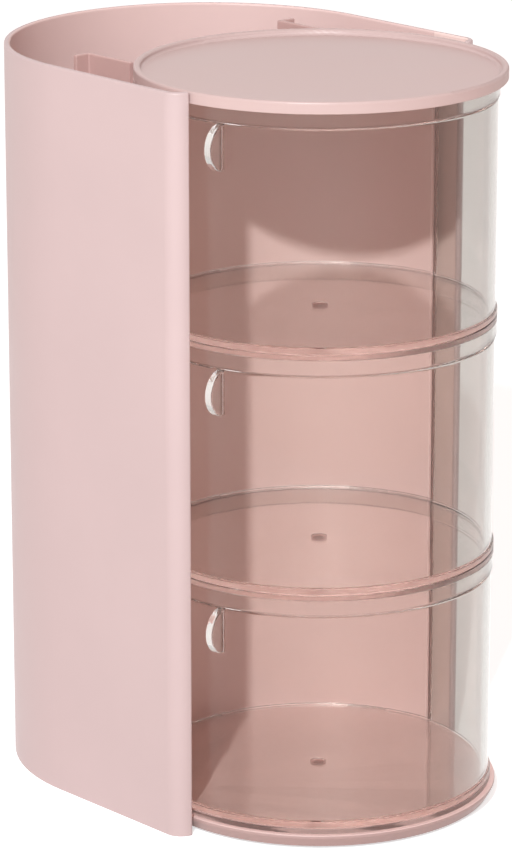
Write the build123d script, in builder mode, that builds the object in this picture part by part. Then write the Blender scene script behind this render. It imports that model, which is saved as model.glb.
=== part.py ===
"""Makeup organizer: three clear trays that turn one above another, in a shell with a brush pocket behind.

Millimetres, +Z up, front towards -Y. The origin is the centre of the footprint, on the table.
"""
import os
from math import asin, degrees, sqrt

from build123d import *

# Three equal tiers under a lid with a shallow tray
TIER_NAMES = ("bottom", "middle", "top")
TIER_PITCH = 80.2
LID_PLATE = 2.0
LID_RIM_HEIGHT = 2.0
LID_RIM_WIDTH = 2.3
LID_SETBACK = 0.1
LID_RIM_ROUND = 0.8
LID_TRAY_ROUND = 1.0
LID_EDGE_ROUND = 0.3
LUG_WIDTH = 12.0
LUG_DEPTH = 4.0

# Outer shell: straight sides, a half-round back and two rolled lips at the front
SHELL_WALL = 2.0
SHELL_RIM_ROUND = 0.7
LIP_RADIUS = 6.0
LIP_REACH = 5.6
LIP_EDGE_ROUND = 0.8
POCKET_DEPTH = 60.7

# Base: a shallow inverted tray under the drum and the pocket, on four pads
BASE_HEIGHT = 5.4
BASE_LIFT = 1.2
BASE_MARGIN = 1.6
BASE_EDGE_ROUND = 0.5
BASE_CORNER_ROUND = 2.6
BASE_UNDERCUT = 1.8
BASE_UNDERCUT_HEIGHT = 3.2
BASE_PLATE = 2.4
BASE_RIM = 4.0
SEAT_DEPTH = 1.0
FOOT_RADIUS = 5.0
FOOT_EDGE_ROUND = 0.6
FOOT_INSET = 8.0
FOOT_ANGLE = 45.0

# Clear trays, each with a round floor, a half-round wall, a finger tab and a dimple left by the mould's gate
TRAY_WALL_RADIUS = 57.8
TRAY_WALL = 2.2
TRAY_WALL_ROUND = 0.4
TRAY_STEP_ROUND = 0.7
TRAY_TONGUE = 1.0
TRAY_HALF_ANGLE = 92.0
TRAY_FLOOR = 1.9
TRAY_FLANGE = 0.6
TRAY_EDGE_ROUND = 0.4
GATE_RADIUS = 2.7
GATE_DEPTH = 0.25
TAB_RADIUS = 7.6
TAB_THICKNESS = 2.7
TAB_EDGE_ROUND = 0.6
TAB_ANGLE = 76.0
TAB_ROOT = 0.5

# Clear fixed plates that carry the trays on a pivot, and guide rings above them
PLATE_THICKNESS = 1.8
PLATE_EDGE_ROUND = 0.4
PIVOT_RADIUS = 1.2
PIVOT_ENGAGEMENT = 0.7
RING_HEIGHT = 5.2
RING_WALL = 1.5
RING_EDGE_ROUND = 0.5
PEG_WIDTH = 14.0
PEG_REACH = 2.9
PEG_ROOT = 2.0
PEG_COUNT = 3
PEG_FIRST_ANGLE = 30.0
PEG_SPREAD = 120.0

# Partition between the drum and the pocket, and the plates that divide the pocket
PARTITION_WALL = 1.6
PARTITION_FRONT = 7.4
PARTITION_EDGE_ROUND = 0.5
SIDE_POCKET_WIDTH = 22.1
DIVIDER_LENGTH = 22.2
DIVIDER_WALL = 1.6
DIVIDER_RETURN = 7.0
DIVIDER_DROP = 0.5
DIVIDER_EDGE_ROUND = 0.5

# Screws that hold the shell and the partition to the base
SCREW_HEAD_RADIUS = 2.8
SCREW_HEAD_HEIGHT = 1.8
SCREW_SHANK_RADIUS = 1.4
SCREW_LENGTH = 12.0
POST_RADIUS = 3.2
POST_HEIGHT = 20.0
POST_OVERLAP = 0.6
PARTITION_POST_ANGLE = 24.0
SHELL_POST_BACK = 28.0
SHELL_POST_INSET = 6.0
SHELL_POST_WEB = 2.0

# Clearances
RUN_GAP = 0.3
FIT_GAP = 0.15
DRUM_GAP = 1.1
LIP_GAP = 0.3
SHOULDER_GAP = 3.9
SCREW_HOLE_GAP = 0.25
PILOT_GAP = 0.1

# The drum from the trays outwards
TRAY_INNER_RADIUS = TRAY_WALL_RADIUS - TRAY_WALL
TRAY_RADIUS = TRAY_WALL_RADIUS + TRAY_FLANGE
TRAY_RISE = PLATE_THICKNESS + RUN_GAP
TONGUE_RADIUS = TRAY_INNER_RADIUS + TRAY_TONGUE
RING_INNER_RADIUS = TONGUE_RADIUS + RUN_GAP
RING_OUTER_RADIUS = RING_INNER_RADIUS + RING_WALL
PIVOT_TOP = TRAY_RISE + PIVOT_ENGAGEMENT
BASE_RADIUS = TRAY_RADIUS + BASE_MARGIN
PARTITION_INNER = TRAY_RADIUS + DRUM_GAP
PARTITION_OUTER = PARTITION_INNER + PARTITION_WALL
PARTITION_START = degrees(asin(PARTITION_FRONT / PARTITION_OUTER))
PARTITION_FOOT = BASE_HEIGHT - SEAT_DEPTH
LID_RADIUS = PARTITION_OUTER - LID_SETBACK
LID_Z = BASE_HEIGHT + len(TIER_NAMES) * TIER_PITCH

# The shell around the drum and the pocket
LIP_X = PARTITION_OUTER + LIP_GAP
SHELL_HALF_WIDTH = LIP_X + LIP_RADIUS
SHELL_INSIDE = SHELL_HALF_WIDTH - SHELL_WALL
SHELL_HEIGHT = LID_Z + LID_PLATE + LID_RIM_HEIGHT
SHELL_ARC_BACK = POCKET_DEPTH + PARTITION_OUTER - SHELL_INSIDE
DRUM_Y = -(SHELL_ARC_BACK + SHELL_HALF_WIDTH - LID_RADIUS) / 2
DRUM_AXIS = Axis((0, DRUM_Y, 0), (0, 0, 1))
ARC_Y = DRUM_Y + SHELL_ARC_BACK
LIP_Y = DRUM_Y - LIP_REACH + LIP_RADIUS
SHOULDER_Y = LIP_Y + SHOULDER_GAP
BASE_ARC_RADIUS = SHELL_INSIDE - FIT_GAP
DIVIDER_INSIDE = SHELL_INSIDE - SIDE_POCKET_WIDTH - DIVIDER_WALL
DIVIDER_FRONT = sqrt((PARTITION_OUTER + FIT_GAP) ** 2 - DIVIDER_INSIDE**2)
DIVIDER_BACK = DIVIDER_FRONT + DIVIDER_LENGTH

# Screws and the posts that take them
HEAD_Z = BASE_HEIGHT - BASE_PLATE
PILOT_RADIUS = SCREW_SHANK_RADIUS + PILOT_GAP
PARTITION_POST_RADIUS = PARTITION_OUTER + POST_RADIUS - POST_OVERLAP
SHELL_POST_X = SHELL_INSIDE - SHELL_POST_INSET
SHELL_POST_Y = DRUM_Y + SHELL_POST_BACK
SHELL_POSTS = [(side * SHELL_POST_X, SHELL_POST_Y) for side in (-1, 1)]
SHELL_WEBS = [(side * (SHELL_INSIDE - SHELL_POST_INSET / 2), SHELL_POST_Y) for side in (-1, 1)]


def radial_plane(angle, height=0.0):
    """Upright plane through the drum's axis: its x runs outwards at the angle, its y runs up."""
    outwards = Vector(1, 0, 0).rotate(Axis.Z, angle)
    return Plane(origin=(0, DRUM_Y, height), x_dir=outwards, z_dir=outwards.cross(Vector(0, 0, 1)))


def drum_plane(height):
    """Level plane centred on the drum's axis."""
    return Plane((0, DRUM_Y, height))


def peg_places(radius):
    """Places of the pegs and lugs around the back of the drum."""
    return PolarLocations(radius, PEG_COUNT, PEG_FIRST_ANGLE, PEG_SPREAD, endpoint=True)


def partition_posts():
    """Places of the two screw posts on the back of the partition."""
    return PolarLocations(
        PARTITION_POST_RADIUS,
        2,
        90 - PARTITION_POST_ANGLE,
        2 * PARTITION_POST_ANGLE,
        endpoint=True,
    )


def foot_places(radius, middle):
    """Places of two pads inside a round stretch of the base's rim, either side of a direction."""
    return PolarLocations(
        radius - BASE_RIM - FOOT_INSET,
        2,
        middle - FOOT_ANGLE,
        2 * FOOT_ANGLE,
        endpoint=True,
    )


def divider_plan(side, gap=0.0):
    """Outline of one pocket plate: a straight run with its free end turned outwards."""
    inside = DIVIDER_INSIDE - gap
    outside = DIVIDER_INSIDE + DIVIDER_WALL + gap
    front = DRUM_Y + DIVIDER_FRONT - gap
    back = DRUM_Y + DIVIDER_BACK + gap
    tip = DIVIDER_INSIDE + DIVIDER_RETURN + gap
    step = DRUM_Y + DIVIDER_BACK - DIVIDER_WALL - gap
    corners = [(inside, front), (outside, front), (outside, step), (tip, step), (tip, back), (inside, back)]
    with BuildSketch(Plane.XY, mode=Mode.PRIVATE) as plan:
        with BuildLine():
            Polyline(*[(side * x, y) for x, y in corners], close=True)
        make_face()
    return plan.sketch


def save(builder, name):
    """Label a finished piece and write it under its own name."""
    builder.part.label = name
    export_step(builder.part, f"parts/{name}.step")


os.makedirs("parts", exist_ok=True)

# Outer shell
with BuildPart() as outer_shell:
    with BuildSketch():
        with BuildLine():
            lip_outside = CenterArc((LIP_X, LIP_Y), LIP_RADIUS, -90, 90)
            side_outside = Line(lip_outside @ 1, (SHELL_HALF_WIDTH, ARC_Y))
            back_outside = CenterArc((0, ARC_Y), SHELL_HALF_WIDTH, 0, 90)
            back_inside = CenterArc((0, ARC_Y), SHELL_INSIDE, 0, 90)
            lip_inside = CenterArc((LIP_X, LIP_Y), LIP_RADIUS - SHELL_WALL, -90, 90)
            Line(back_inside @ 0, lip_inside @ 1)
            Line(lip_inside @ 0, lip_outside @ 0)
            Line(back_outside @ 1, back_inside @ 1)
        make_face()
        mirror(about=Plane.YZ)
    extrude(amount=SHELL_HEIGHT)
    lip_ends = outer_shell.faces().filter_by(Axis.X).group_by(SortBy.AREA)[0]
    fillet(lip_ends.edges().filter_by(Axis.Z), LIP_EDGE_ROUND)
    fillet(outer_shell.faces().sort_by(Axis.Z)[-1].edges(), SHELL_RIM_ROUND)
    with BuildSketch(Plane.XY.offset(BASE_HEIGHT)):
        with Locations(*SHELL_POSTS):
            Circle(POST_RADIUS)
        with Locations(*SHELL_WEBS):
            Rectangle(SHELL_POST_INSET, SHELL_POST_WEB)
    extrude(amount=POST_HEIGHT)
    with BuildSketch(Plane.XY.offset(BASE_HEIGHT)):
        with Locations(*SHELL_POSTS):
            Circle(PILOT_RADIUS)
    extrude(amount=SCREW_LENGTH, mode=Mode.SUBTRACT)
save(outer_shell, "outer_shell")

# Base
with BuildPart() as base:
    with BuildSketch(Plane.XY.offset(BASE_LIFT)) as base_plan:
        with Locations((0, DRUM_Y)):
            Circle(BASE_RADIUS)
        with BuildLine():
            base_arc = CenterArc((0, ARC_Y), BASE_ARC_RADIUS, 0, 180)
            Polyline(
                base_arc @ 1,
                (-BASE_ARC_RADIUS, SHOULDER_Y),
                (BASE_ARC_RADIUS, SHOULDER_Y),
                base_arc @ 0,
            )
        make_face()
        shoulder_corners = max(base_plan.vertices().group_by(Axis.Y), key=len)
        fillet(shoulder_corners, BASE_CORNER_ROUND)
    extrude(amount=BASE_HEIGHT - BASE_LIFT)
    base_underside, base_top = base.faces().filter_by(Axis.Z).sort_by(Axis.Z)
    fillet(base_top.edges(), BASE_EDGE_ROUND)
    chamfer(base_underside.edges(), BASE_UNDERCUT, BASE_UNDERCUT_HEIGHT, reference=base_underside)
    with BuildSketch(Plane.XY.offset(HEAD_Z)):
        offset(base_plan.sketch, amount=-BASE_RIM)
        with Locations(*SHELL_POSTS):
            Circle(SCREW_HEAD_RADIUS + SCREW_HOLE_GAP)
    extrude(amount=BASE_LIFT - HEAD_Z, mode=Mode.SUBTRACT)
    with BuildSketch(radial_plane(PARTITION_START, PARTITION_FOOT)):
        with Locations(((PARTITION_INNER + PARTITION_OUTER) / 2, 0)):
            Rectangle(
                PARTITION_WALL + 2 * FIT_GAP,
                2 * SEAT_DEPTH,
                align=(Align.CENTER, Align.MIN),
            )
    revolve(axis=DRUM_AXIS, revolution_arc=180 - 2 * PARTITION_START, mode=Mode.SUBTRACT)
    with BuildSketch(Plane.XY.offset(PARTITION_FOOT)):
        add(divider_plan(-1, FIT_GAP))
        add(divider_plan(1, FIT_GAP))
    extrude(amount=SEAT_DEPTH, mode=Mode.SUBTRACT)
    with BuildSketch(Plane.XY.offset(HEAD_Z)):
        with Locations(*SHELL_POSTS):
            Circle(SCREW_SHANK_RADIUS + SCREW_HOLE_GAP)
        with Locations((0, DRUM_Y)):
            with partition_posts():
                Circle(SCREW_SHANK_RADIUS + SCREW_HOLE_GAP)
    extrude(amount=BASE_PLATE, mode=Mode.SUBTRACT)
save(base, "base")

# Partition, slotted for the plates' pegs and notched for the lid's lugs
with BuildPart() as partition:
    with BuildSketch(radial_plane(PARTITION_START, PARTITION_FOOT)):
        with Locations((PARTITION_INNER, 0)):
            Rectangle(PARTITION_WALL, LID_Z - PARTITION_FOOT, align=Align.MIN)
    revolve(axis=DRUM_AXIS, revolution_arc=180 - 2 * PARTITION_START)
    fillet(partition.edges().filter_by(Axis.Z), PARTITION_EDGE_ROUND)
    with BuildSketch(drum_plane(BASE_HEIGHT)):
        with partition_posts():
            Circle(POST_RADIUS)
    extrude(amount=POST_HEIGHT)
    with BuildSketch(drum_plane(BASE_HEIGHT)):
        with partition_posts():
            Circle(PILOT_RADIUS)
    extrude(amount=SCREW_LENGTH, mode=Mode.SUBTRACT)
    for tier in range(len(TIER_NAMES)):
        with Locations(drum_plane(BASE_HEIGHT + tier * TIER_PITCH - FIT_GAP)):
            with peg_places(PARTITION_INNER):
                Box(
                    2 * PEG_REACH,
                    PEG_WIDTH + 2 * FIT_GAP,
                    PLATE_THICKNESS + 2 * FIT_GAP,
                    align=(Align.CENTER, Align.CENTER, Align.MIN),
                    mode=Mode.SUBTRACT,
                )
    with Locations(drum_plane(LID_Z)):
        with peg_places(PARTITION_INNER):
            Box(
                2 * PEG_REACH,
                LUG_WIDTH + 2 * FIT_GAP,
                2 * (LUG_DEPTH + FIT_GAP),
                mode=Mode.SUBTRACT,
            )
save(partition, "partition")

# Lid with a shallow tray on top and lugs that drop into the partition
with BuildPart() as lid:
    with BuildSketch(drum_plane(LID_Z)):
        Circle(LID_RADIUS)
    extrude(amount=LID_PLATE + LID_RIM_HEIGHT)
    with BuildSketch(drum_plane(LID_Z + LID_PLATE)):
        Circle(LID_RADIUS - LID_RIM_WIDTH)
    extrude(amount=LID_RIM_HEIGHT, mode=Mode.SUBTRACT)
    lid_underside, lid_tray, lid_rim = lid.faces().filter_by(Axis.Z).sort_by(Axis.Z)
    fillet(lid_rim.edges(), LID_RIM_ROUND)
    fillet(lid_tray.edges(), LID_TRAY_ROUND)
    fillet(lid_underside.edges(), LID_EDGE_ROUND)
    with Locations(drum_plane(LID_Z)):
        with peg_places(PARTITION_INNER + PARTITION_WALL / 2):
            Box(
                PARTITION_WALL - 2 * FIT_GAP,
                LUG_WIDTH,
                LUG_DEPTH,
                align=(Align.CENTER, Align.CENTER, Align.MAX),
            )
save(lid, "lid")

# Three tiers, each with a fixed plate, a guide ring above it and a tray that turns between them
for tier, tier_name in enumerate(TIER_NAMES):
    plate_z = BASE_HEIGHT + tier * TIER_PITCH
    tray_z = plate_z + TRAY_RISE
    ceiling_z = plate_z + TIER_PITCH
    ring_z = ceiling_z - RING_HEIGHT
    step_z = ring_z - RUN_GAP

    with BuildPart() as tier_plate:
        with BuildSketch(drum_plane(plate_z)):
            Circle(TRAY_RADIUS)
        extrude(amount=PLATE_THICKNESS)
        fillet(tier_plate.edges().filter_by(GeomType.CIRCLE), PLATE_EDGE_ROUND)
        with BuildSketch(drum_plane(plate_z)):
            Circle(PIVOT_RADIUS)
        extrude(amount=PIVOT_TOP)
        with Locations(drum_plane(plate_z)):
            with peg_places(TRAY_RADIUS - PEG_ROOT):
                Box(
                    PEG_ROOT + PEG_REACH,
                    PEG_WIDTH,
                    PLATE_THICKNESS,
                    align=(Align.MIN, Align.CENTER, Align.MIN),
                )
    save(tier_plate, f"tier_plate_{tier_name}")

    with BuildPart() as guide_ring:
        with BuildSketch(drum_plane(ring_z)):
            Circle(RING_OUTER_RADIUS)
            Circle(RING_INNER_RADIUS, mode=Mode.SUBTRACT)
        extrude(amount=RING_HEIGHT)
        fillet(guide_ring.faces().sort_by(Axis.Z)[0].edges(), RING_EDGE_ROUND)
    save(guide_ring, f"guide_ring_{tier_name}")

    with BuildPart() as tray:
        with BuildSketch(radial_plane(-90 - TRAY_HALF_ANGLE)) as wall_section:
            with BuildLine():
                Polyline(
                    (TRAY_INNER_RADIUS, tray_z),
                    (TRAY_WALL_RADIUS, tray_z),
                    (TRAY_WALL_RADIUS, step_z),
                    (TONGUE_RADIUS, step_z),
                    (TONGUE_RADIUS, ceiling_z - RUN_GAP),
                    (TRAY_INNER_RADIUS, ceiling_z - RUN_GAP),
                    close=True,
                )
            make_face()
            outer_corners = wall_section.vertices().group_by(Axis.X)[-1]
            fillet(outer_corners.sort_by(Axis.Y)[-1], TRAY_STEP_ROUND)
        revolve(axis=DRUM_AXIS, revolution_arc=2 * TRAY_HALF_ANGLE)
        fillet(tray.edges().filter_by(Axis.Z), TRAY_WALL_ROUND)
        with BuildSketch(drum_plane(tray_z)):
            Circle(TRAY_RADIUS)
        extrude(amount=TRAY_FLOOR)
        fillet(tray.edges().filter_by(GeomType.CIRCLE).group_by(SortBy.RADIUS)[-1], TRAY_EDGE_ROUND)
        with BuildSketch(drum_plane(tray_z)):
            Circle(PIVOT_RADIUS + RUN_GAP)
        extrude(amount=PIVOT_ENGAGEMENT + RUN_GAP, mode=Mode.SUBTRACT)
        with BuildSketch(drum_plane(tray_z + TRAY_FLOOR)):
            Circle(GATE_RADIUS)
        extrude(amount=-GATE_DEPTH, mode=Mode.SUBTRACT)
        with BuildSketch(radial_plane(-90 - TAB_ANGLE, step_z - TAB_RADIUS)):
            with BuildLine():
                tab_edge = CenterArc((TRAY_WALL_RADIUS, 0), TAB_RADIUS, -90, 180)
                Polyline(
                    tab_edge @ 1,
                    (TRAY_WALL_RADIUS - TAB_ROOT, TAB_RADIUS),
                    (TRAY_WALL_RADIUS - TAB_ROOT, -TAB_RADIUS),
                    tab_edge @ 0,
                )
            make_face()
        extrude(amount=TAB_THICKNESS / 2, both=True)
        tab_arcs = tray.edges(Select.LAST).filter_by(GeomType.CIRCLE).group_by(SortBy.RADIUS)[0]
        fillet(tab_arcs, TAB_EDGE_ROUND)
    save(tray, f"tray_{tier_name}")

# Pocket plates, seated in the base
for side, side_name in ((-1, "left"), (1, "right")):
    with BuildPart() as divider:
        with BuildSketch(Plane.XY.offset(PARTITION_FOOT)):
            add(divider_plan(side))
        extrude(amount=SHELL_HEIGHT - DIVIDER_DROP - PARTITION_FOOT)
        free_corners = divider.edges().filter_by(Axis.Z).group_by(Axis.Y)[1:]
        fillet([edge for corner in free_corners for edge in corner], DIVIDER_EDGE_ROUND)
        fillet(divider.faces().sort_by(Axis.Z)[-1].edges(), DIVIDER_EDGE_ROUND)
    save(divider, f"pocket_divider_{side_name}")

# Screws, driven up through the base
with BuildPart() as base_screws:
    with BuildSketch(Plane.XY.offset(HEAD_Z)):
        with Locations(*SHELL_POSTS):
            Circle(SCREW_HEAD_RADIUS)
        with Locations((0, DRUM_Y)):
            with partition_posts():
                Circle(SCREW_HEAD_RADIUS)
    extrude(amount=-SCREW_HEAD_HEIGHT)
    with BuildSketch(Plane.XY.offset(HEAD_Z)):
        with Locations(*SHELL_POSTS):
            Circle(SCREW_SHANK_RADIUS)
        with Locations((0, DRUM_Y)):
            with partition_posts():
                Circle(SCREW_SHANK_RADIUS)
    extrude(amount=SCREW_LENGTH)
save(base_screws, "base_screws")

# Pads under the base
with BuildPart() as base_feet:
    with BuildSketch():
        with Locations((0, DRUM_Y)):
            with foot_places(BASE_RADIUS, -90):
                Circle(FOOT_RADIUS)
        with Locations((0, ARC_Y)):
            with foot_places(BASE_ARC_RADIUS, 90):
                Circle(FOOT_RADIUS)
    extrude(amount=HEAD_Z)
    fillet(base_feet.faces().filter_by(Axis.Z).group_by(Axis.Z)[0].edges(), FOOT_EDGE_ROUND)
save(base_feet, "base_feet")
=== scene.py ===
"""Looks for the makeup organizer: satin pink plastic, clear plastic trays, steel screws, rubber pads."""
from math import cos, radians, sin

import bpy
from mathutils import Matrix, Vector

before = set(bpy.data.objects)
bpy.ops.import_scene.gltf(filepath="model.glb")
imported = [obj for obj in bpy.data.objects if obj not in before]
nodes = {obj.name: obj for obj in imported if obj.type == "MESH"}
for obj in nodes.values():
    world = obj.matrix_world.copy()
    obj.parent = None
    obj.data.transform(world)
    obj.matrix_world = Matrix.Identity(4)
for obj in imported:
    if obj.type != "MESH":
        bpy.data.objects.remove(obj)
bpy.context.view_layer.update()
scene = bpy.context.scene

# Places in the frame, in metres: the drum's axis and tiers, the curves of the shell and its lips
DRUM_Y = -0.0314
BASE_HEIGHT = 0.0054
TIER_PITCH = 0.0802
ARC_Y = 0.025
LIP_X = 0.0614
LIP_Y = -0.031
LIP_BACK = -0.017

# Limits between faces, in metres from those places; a pair is where a mask starts and where it is full
SHELL_REACH = 0.0659
LIP_REACH = 0.0045
TOP_SLACK = 0.0002
WALL_START = (0.0571, 0.0574)
WALL_END = (0.0586, 0.0588)
RIM_START = (0.0580, 0.0582)
GATE_EDGE = (0.0026, 0.0028)
FLOOR_SHARE = (0.050, 0.052)  # of the tier's pitch: the plate and the tray's floor lie below

# Noise mostly stays between these values
NOISE_RANGE = (0.3, 0.7)

# Pink plastic: tones outside, inside, on the inner faces of the lips, the lid, the pocket plates, the base's
# side; all but the outside tone carry painted light or painted shade
PINK = (0.615, 0.523, 0.535)
# Inside: lighter than the outside, painted light for the shaded interior behind the tinted walls
INNER_PINK_PAINTED_LIGHT = (0.81, 0.65, 0.635)
# Lips' inner faces: much lighter, painted light in the shaded gap between the partition's end and the lips
LIP_PINK_PAINTED_LIGHT = (0.93, 0.79, 0.76)
# Lid: a little darker, painted shade against the extra light that falls on its top
LID_PINK_PAINTED_SHADE = (0.61, 0.495, 0.487)
# Pocket plates: darker, painted shade on their shaded faces
DEEP_PINK_PAINTED_SHADE = (0.585, 0.412, 0.395)
# Base: darker on its side and underside, painted shade
BASE_PINK_PAINTED_SHADE = (0.475, 0.35, 0.34)
TONE_SPREAD = 0.025
SHADE_SCALE = 18.0
PEEL_SCALE = 260.0
PEEL_DEPTH = 0.00002
GRAIN_SCALE = 2600.0
GRAIN_DEPTH = 0.000012
SATIN = (0.36, 0.46)
PLASTIC_IOR = 1.49

# Clear plastic
CLEAR_FLOOR = (0.99, 0.985, 0.98)
# Walls' outer faces: grey tint, painted shade standing in for the dim background seen through the walls and
# darkening their edges
CLEAR_WALL_PAINTED_SHADE = (0.51, 0.50, 0.475)
CLEAR_GATE = (0.50, 0.37, 0.35)
CLEAR_GLINT = (0.22, 0.22, 0.22, 1.0)
CLEAR_SHADOW = (1.0, 0.995, 0.99, 1.0)
CLEAR_DEPTH = (0.62, 0.42, 0.35, 1.0)
CLEAR_DENSITY = 8.0
POLISH = (0.012, 0.035)
RIM_ROUGHNESS = 0.3
HAZE_SCALE = 40.0
FLOW_SCALE = 22.0
FLOW_STRETCH = (1.0, 1.0, 0.25)
FLOW_DEPTH = 0.0002

# Table, studio and lamp
FLOOR_SIZE = 6.0
FLOOR_GLOW = 0.635
FLOOR_COLOUR = (0.73, 0.855, 0.895, 1.0)
FLOOR_BOUNCE = (0.85, 0.78, 0.75, 1.0)
WORLD_AMBIENT = 0.47
WORLD_COLOUR = (1.0, 0.68, 0.60, 1.0)
WORLD_FILL = 0.42
WORLD_BACK = (0.45, 0.89, 0.0)
FILL_COLOUR = (1.0, 0.88, 0.86, 1.0)
WHITE = (1.0, 1.0, 1.0, 1.0)
LAMP_TARGET = Vector((0.0, -0.031, 0.21))

# Light goes on through many clear walls and is thrown back inside them
BOUNCES = 96
CLEAR_LAYERS = 48

# Camera at the photograph's place
CAMERA_LENS = 180.92
CAMERA_SENSOR = 36.0
CAMERA_PLACE = (-0.9305, -1.0303, 0.5237)
CAMERA_AIM = Vector((0.6437, 0.7128, -0.2786))


def new_material(name):
    """A node material with its tree emptied but for the output."""
    material = bpy.data.materials.new(name)
    material.use_nodes = True
    tree = material.node_tree
    tree.nodes.clear()
    output = tree.nodes.new("ShaderNodeOutputMaterial")
    return material, tree, output


def add(tree, kind, **inputs):
    """Add a node; keyword values go to its inputs by name, with _ for a space."""
    node = tree.nodes.new(kind)
    for key, value in inputs.items():
        node.inputs[key.replace("_", " ")].default_value = value
    return node


def feed(tree, value, socket):
    """Link an output to an input, or set the input to a plain value."""
    if isinstance(value, bpy.types.NodeSocket):
        tree.links.new(value, socket)
    else:
        socket.default_value = value


def calc(tree, operation, *values):
    """One step of arithmetic on outputs or numbers."""
    node = add(tree, "ShaderNodeMath")
    node.operation = operation
    for value, socket in zip(values, node.inputs):
        feed(tree, value, socket)
    return node.outputs["Value"]


def mixed(tree, fac, first, second):
    """The first colour where the factor is zero, the second where it is one."""
    node = add(tree, "ShaderNodeMix")
    node.data_type = "RGBA"
    for value, socket in ((fac, node.inputs[0]), (first, node.inputs[6]), (second, node.inputs[7])):
        feed(tree, value, socket)
    return node.outputs[2]


def place(tree):
    """The object's own coordinates, one by one."""
    coords = add(tree, "ShaderNodeTexCoord")
    parts = add(tree, "ShaderNodeSeparateXYZ")
    tree.links.new(coords.outputs["Object"], parts.inputs["Vector"])
    return parts.outputs["X"], parts.outputs["Y"], parts.outputs["Z"]


def distance(tree, across, along):
    """Length of a level vector from its two parts."""
    squares = [calc(tree, "POWER", part, 2.0) for part in (across, along)]
    return calc(tree, "SQRT", calc(tree, "ADD", *squares))


def step_up(tree, value, edge):
    """Zero below the edge's first value, one above its second."""
    remap = add(tree, "ShaderNodeMapRange", From_Min=edge[0], From_Max=edge[1])
    tree.links.new(value, remap.inputs["Value"])
    return remap.outputs["Result"]


def object_noise(tree, scale, detail, stretch=(1.0, 1.0, 1.0)):
    """Noise on the object's own coordinates, in metres."""
    coords = add(tree, "ShaderNodeTexCoord")
    mapping = add(tree, "ShaderNodeMapping", Scale=stretch)
    noise = add(tree, "ShaderNodeTexNoise", Scale=scale, Detail=detail)
    tree.links.new(coords.outputs["Object"], mapping.inputs["Vector"])
    tree.links.new(mapping.outputs["Vector"], noise.inputs["Vector"])
    return noise.outputs["Fac"]


def spread(tree, fac, ends):
    """Map noise onto a range of values."""
    low, high = NOISE_RANGE
    remap = add(tree, "ShaderNodeMapRange", From_Min=low, From_Max=high, To_Min=ends[0], To_Max=ends[1])
    tree.links.new(fac, remap.inputs["Value"])
    return remap.outputs["Result"]


def shades(tree, fac, *tones):
    """Blend two tones by noise or by a mask."""
    ramp = add(tree, "ShaderNodeValToRGB")
    for element, position, tone in zip(ramp.color_ramp.elements, NOISE_RANGE, tones):
        element.position = position
        element.color = (*tone, 1.0)
    tree.links.new(fac, ramp.inputs["Fac"])
    return ramp.outputs["Color"]


def tone_shades(tree, fac, tone):
    """Blend a slightly darker and a slightly lighter shade of one tone."""
    dark, light = ([channel * level for channel in tone] for level in (1 - TONE_SPREAD, 1 + TONE_SPREAD))
    return shades(tree, fac, dark, light)


def bumped(tree, *layers):
    """Stack bumps: each layer is a height and its depth in metres."""
    normal = None
    for height, depth in layers:
        bump = add(tree, "ShaderNodeBump", Strength=1.0, Distance=depth)
        tree.links.new(height, bump.inputs["Height"])
        if normal is not None:
            tree.links.new(normal, bump.inputs["Normal"])
        normal = bump.outputs["Normal"]
    return normal


def shell_inside(tree):
    """One on the inner faces of the shell and its lips, zero on the outer ones; the lighter inner tone goes there
    as painted light.
    """
    x, y, _ = place(tree)
    behind = calc(tree, "MAXIMUM", calc(tree, "SUBTRACT", y, ARC_Y), 0.0)
    within = calc(tree, "LESS_THAN", distance(tree, x, behind), SHELL_REACH)
    in_shell = calc(tree, "MULTIPLY", within, calc(tree, "GREATER_THAN", y, LIP_Y))
    lip_x = calc(tree, "SUBTRACT", calc(tree, "ABSOLUTE", x), LIP_X)
    lip_y = calc(tree, "SUBTRACT", y, LIP_Y)
    in_lip = calc(tree, "LESS_THAN", distance(tree, lip_x, lip_y), LIP_REACH)
    return calc(tree, "MAXIMUM", in_shell, in_lip)


def lip_inside(tree):
    """One on the inner faces of the lips and the front of the shell's sides, zero elsewhere; the much lighter lip
    tone goes there as painted light.
    """
    return calc(tree, "MULTIPLY", shell_inside(tree), calc(tree, "LESS_THAN", place(tree)[1], LIP_BACK))


def base_top(tree):
    """One on the base's top, zero on its side and underside; the top gets the lighter inner tone as painted
    light, while the side and underside keep the darker base tone as painted shade.
    """
    return calc(tree, "GREATER_THAN", place(tree)[2], BASE_HEIGHT - TOP_SLACK)


def drum_masks(tree):
    """Three masks: outer faces of the drum's upright walls, which get a grey tint as painted shade, rims of its
    floors and plates, and gate marks.
    """
    x, y, z = place(tree)
    radius = distance(tree, x, calc(tree, "SUBTRACT", y, DRUM_Y))
    tiers = calc(tree, "MULTIPLY_ADD", z, 1 / TIER_PITCH, -BASE_HEIGHT / TIER_PITCH)
    above = step_up(tree, calc(tree, "FRACT", tiers), FLOOR_SHARE)
    outside = calc(tree, "MULTIPLY", step_up(tree, radius, WALL_START), above)
    within = calc(tree, "SUBTRACT", 1.0, step_up(tree, radius, WALL_END))
    walls = calc(tree, "MULTIPLY", outside, within)
    below = calc(tree, "SUBTRACT", 1.0, above)
    rims = calc(tree, "MULTIPLY", step_up(tree, radius, RIM_START), below)
    gates = calc(tree, "SUBTRACT", 1.0, step_up(tree, radius, GATE_EDGE))
    return walls, rims, gates


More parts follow.
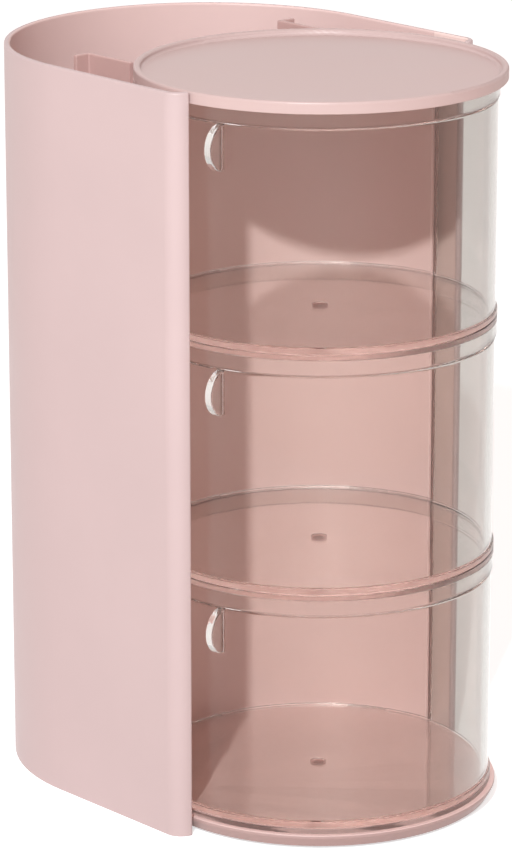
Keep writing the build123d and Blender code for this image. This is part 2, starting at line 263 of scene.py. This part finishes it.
def pink_plastic(name, tone, *overlays):
    """Moulded plastic with a satin texture, slightly uneven in shade; each overlay is a mask and its tone."""
    material, tree, output = new_material(name)
    shader = add(tree, "ShaderNodeBsdfPrincipled", IOR=PLASTIC_IOR)
    shade = object_noise(tree, SHADE_SCALE, detail=4.0)
    peel = object_noise(tree, PEEL_SCALE, detail=2.0)
    grain = object_noise(tree, GRAIN_SCALE, detail=2.0)
    colour = tone_shades(tree, shade, tone)
    for mask, over_tone in overlays:
        colour = mixed(tree, mask(tree), colour, tone_shades(tree, shade, over_tone))
    tree.links.new(colour, shader.inputs["Base Color"])
    tree.links.new(spread(tree, shade, SATIN), shader.inputs["Roughness"])
    tree.links.new(bumped(tree, (peel, PEEL_DEPTH), (grain, GRAIN_DEPTH)), shader.inputs["Normal"])
    tree.links.new(shader.outputs["BSDF"], output.inputs["Surface"])
    return material


def clear_plastic():
    """Clear moulded plastic with a grey tint painted as shade on the walls' outer faces, that lets the lamp's
    light through to what is behind it.
    """
    material, tree, output = new_material("clear_polished")
    shader = add(
        tree,
        "ShaderNodeBsdfPrincipled",
        IOR=PLASTIC_IOR,
        Specular_Tint=CLEAR_GLINT,
        Transmission_Weight=1.0,
    )
    walls, rims, gates = drum_masks(tree)
    # The walls' mask lays the grey painted-shade tint on the walls' outer faces
    colour = shades(tree, walls, CLEAR_FLOOR, CLEAR_WALL_PAINTED_SHADE)
    marked = mixed(tree, gates, colour, shades(tree, gates, CLEAR_FLOOR, CLEAR_GATE))
    haze = object_noise(tree, HAZE_SCALE, detail=3.0)
    flow = object_noise(tree, FLOW_SCALE, detail=1.0, stretch=FLOW_STRETCH)
    rim_gloss = calc(tree, "MULTIPLY", rims, RIM_ROUGHNESS)
    gloss = calc(tree, "MAXIMUM", spread(tree, haze, POLISH), rim_gloss)
    tree.links.new(marked, shader.inputs["Base Color"])
    tree.links.new(gloss, shader.inputs["Roughness"])
    tree.links.new(bumped(tree, (flow, FLOW_DEPTH)), shader.inputs["Normal"])

    passing = add(tree, "ShaderNodeBsdfTransparent", Color=CLEAR_SHADOW)
    rays = add(tree, "ShaderNodeLightPath").outputs
    mix = add(tree, "ShaderNodeMixShader")
    lighting = calc(tree, "MAXIMUM", rays["Is Shadow Ray"], rays["Is Diffuse Ray"])
    tree.links.new(lighting, mix.inputs["Fac"])
    tree.links.new(shader.outputs["BSDF"], mix.inputs[1])
    tree.links.new(passing.outputs["BSDF"], mix.inputs[2])
    tree.links.new(mix.outputs["Shader"], output.inputs["Surface"])

    depth = add(tree, "ShaderNodeVolumeAbsorption", Color=CLEAR_DEPTH, Density=CLEAR_DENSITY)
    tree.links.new(depth.outputs["Volume"], output.inputs["Volume"])
    return material


def grained(name, scale, detail, tones, roughness, depth, **inputs):
    """A material with one fine grain in its shade, its roughness and its relief."""
    material, tree, output = new_material(name)
    shader = add(tree, "ShaderNodeBsdfPrincipled", **inputs)
    grain = object_noise(tree, scale, detail)
    tree.links.new(shades(tree, grain, *tones), shader.inputs["Base Color"])
    tree.links.new(spread(tree, grain, roughness), shader.inputs["Roughness"])
    tree.links.new(bumped(tree, (grain, depth)), shader.inputs["Normal"])
    tree.links.new(shader.outputs["BSDF"], output.inputs["Surface"])
    return material


def seen_by_eye(tree):
    """One for rays that start at the camera, a mirror or glass, and zero for the rest."""
    rays = add(tree, "ShaderNodeLightPath").outputs
    bent = calc(tree, "MAXIMUM", rays["Is Glossy Ray"], rays["Is Transmission Ray"])
    return calc(tree, "MAXIMUM", rays["Is Camera Ray"], bent)


def floor_white():
    """White table: it shows white and keeps the shadow, and throws a warm light back on the part."""
    material, tree, output = new_material("floor_white")
    diffuse = add(tree, "ShaderNodeBsdfDiffuse")
    glow = add(tree, "ShaderNodeEmission")
    both = add(tree, "ShaderNodeAddShader")
    seen = seen_by_eye(tree)
    tree.links.new(mixed(tree, seen, FLOOR_BOUNCE, FLOOR_COLOUR), diffuse.inputs["Color"])
    tree.links.new(calc(tree, "MULTIPLY", seen, FLOOR_GLOW), glow.inputs["Strength"])
    tree.links.new(diffuse.outputs["BSDF"], both.inputs[0])
    tree.links.new(glow.outputs["Emission"], both.inputs[1])
    tree.links.new(both.outputs["Shader"], output.inputs["Surface"])
    return material


def studio_world():
    """White all round for the eye; as a light, a soft warm glow with a paler fill from behind."""
    world = bpy.data.worlds.new("studio")
    world.use_nodes = True
    tree = world.node_tree
    tree.nodes.clear()
    output = add(tree, "ShaderNodeOutputWorld")
    ambient = add(tree, "ShaderNodeBackground", Color=WORLD_COLOUR, Strength=WORLD_AMBIENT)
    fill = add(tree, "ShaderNodeBackground", Color=FILL_COLOUR)
    light = add(tree, "ShaderNodeAddShader")
    white = add(tree, "ShaderNodeBackground", Color=WHITE, Strength=1.0)
    mix = add(tree, "ShaderNodeMixShader")

    coords = add(tree, "ShaderNodeTexCoord")
    backwards = add(tree, "ShaderNodeVectorMath")
    backwards.operation = "DOT_PRODUCT"
    backwards.inputs[1].default_value = WORLD_BACK
    tree.links.new(coords.outputs["Generated"], backwards.inputs[0])
    from_behind = calc(tree, "MAXIMUM", backwards.outputs["Value"], 0.0)
    tree.links.new(calc(tree, "MULTIPLY", from_behind, WORLD_FILL), fill.inputs["Strength"])

    tree.links.new(ambient.outputs["Background"], light.inputs[0])
    tree.links.new(fill.outputs["Background"], light.inputs[1])
    tree.links.new(seen_by_eye(tree), mix.inputs["Fac"])
    tree.links.new(light.outputs["Shader"], mix.inputs[1])
    tree.links.new(white.outputs["Background"], mix.inputs[2])
    tree.links.new(mix.outputs["Shader"], output.inputs["Surface"])
    return world


def lamp(name, azimuth, elevation, reach, size, power):
    """Square soft lamp, aimed at the upper part of the drum."""
    light = bpy.data.lights.new(name, "AREA")
    light.size = size
    light.energy = power
    lamp_object = bpy.data.objects.new(name, light)
    scene.collection.objects.link(lamp_object)
    across, up = radians(azimuth), radians(elevation)
    outwards = Vector((sin(across) * cos(up), -cos(across) * cos(up), sin(up)))
    lamp_object.location = LAMP_TARGET + reach * outwards
    lamp_object.rotation_euler = outwards.to_track_quat("Z", "Y").to_euler()


# Materials on the pieces: the pink ones by node, the others by slot
# The pocket plates take a darker tone as painted shade
divider_painted_shade = pink_plastic("pink_satin_painted_shade", DEEP_PINK_PAINTED_SHADE)
pinks = {
    # The shell's inner faces take the lighter inner tone as painted light
    "outer_shell": pink_plastic("pink_satin_shell", PINK, (shell_inside, INNER_PINK_PAINTED_LIGHT), (lip_inside, LIP_PINK_PAINTED_LIGHT)),
    # The base's side takes a darker tone as painted shade, its top the lighter inner tone as painted light
    "base": pink_plastic("pink_satin_base", BASE_PINK_PAINTED_SHADE, (base_top, INNER_PINK_PAINTED_LIGHT)),
    # The partition takes the lighter inner tone as painted light
    "partition": pink_plastic("pink_satin_inner_painted_light", INNER_PINK_PAINTED_LIGHT),
    # The lid's darker tone is painted shade
    "lid": pink_plastic("pink_satin_lid_painted_shade", LID_PINK_PAINTED_SHADE),
    "pocket_divider_left": divider_painted_shade,
    "pocket_divider_right": divider_painted_shade,
}
finishes = {
    "clear_plastic": clear_plastic(),
    "steel": grained(
        "screw_steel",
        scale=900.0,
        detail=4.0,
        tones=((0.42, 0.42, 0.41), (0.55, 0.55, 0.53)),
        roughness=(0.28, 0.42),
        depth=0.00001,
        Metallic=1.0,
    ),
    "rubber": grained(
        "pad_rubber",
        scale=1500.0,
        detail=3.0,
        tones=((0.12, 0.11, 0.105), (0.17, 0.16, 0.15)),
        roughness=(0.7, 0.85),
        depth=0.00003,
        IOR=1.5,
    ),
}
for name, node in nodes.items():
    for slot in node.material_slots:
        slot.material = pinks[name] if name in pinks else finishes[slot.material.name]

# Table
bpy.ops.mesh.primitive_plane_add(size=FLOOR_SIZE)
floor = bpy.context.object
floor.name = "floor"
floor.data.materials.append(floor_white())

# Studio
scene.world = studio_world()
lamp("key", azimuth=-53.5, elevation=31.8, reach=2.4, size=0.07, power=45.0)
scene.cycles.max_bounces = BOUNCES
scene.cycles.glossy_bounces = BOUNCES
scene.cycles.transmission_bounces = BOUNCES
scene.cycles.transparent_max_bounces = CLEAR_LAYERS

# Camera
camera_data = bpy.data.cameras.new("camera")
camera_data.lens = CAMERA_LENS
camera_data.sensor_width = CAMERA_SENSOR
camera = bpy.data.objects.new("camera", camera_data)
scene.collection.objects.link(camera)
camera.location = CAMERA_PLACE
camera.rotation_euler = CAMERA_AIM.to_track_quat("-Z", "Y").to_euler()
scene.camera = camera
scene.view_settings.view_transform = "Standard"
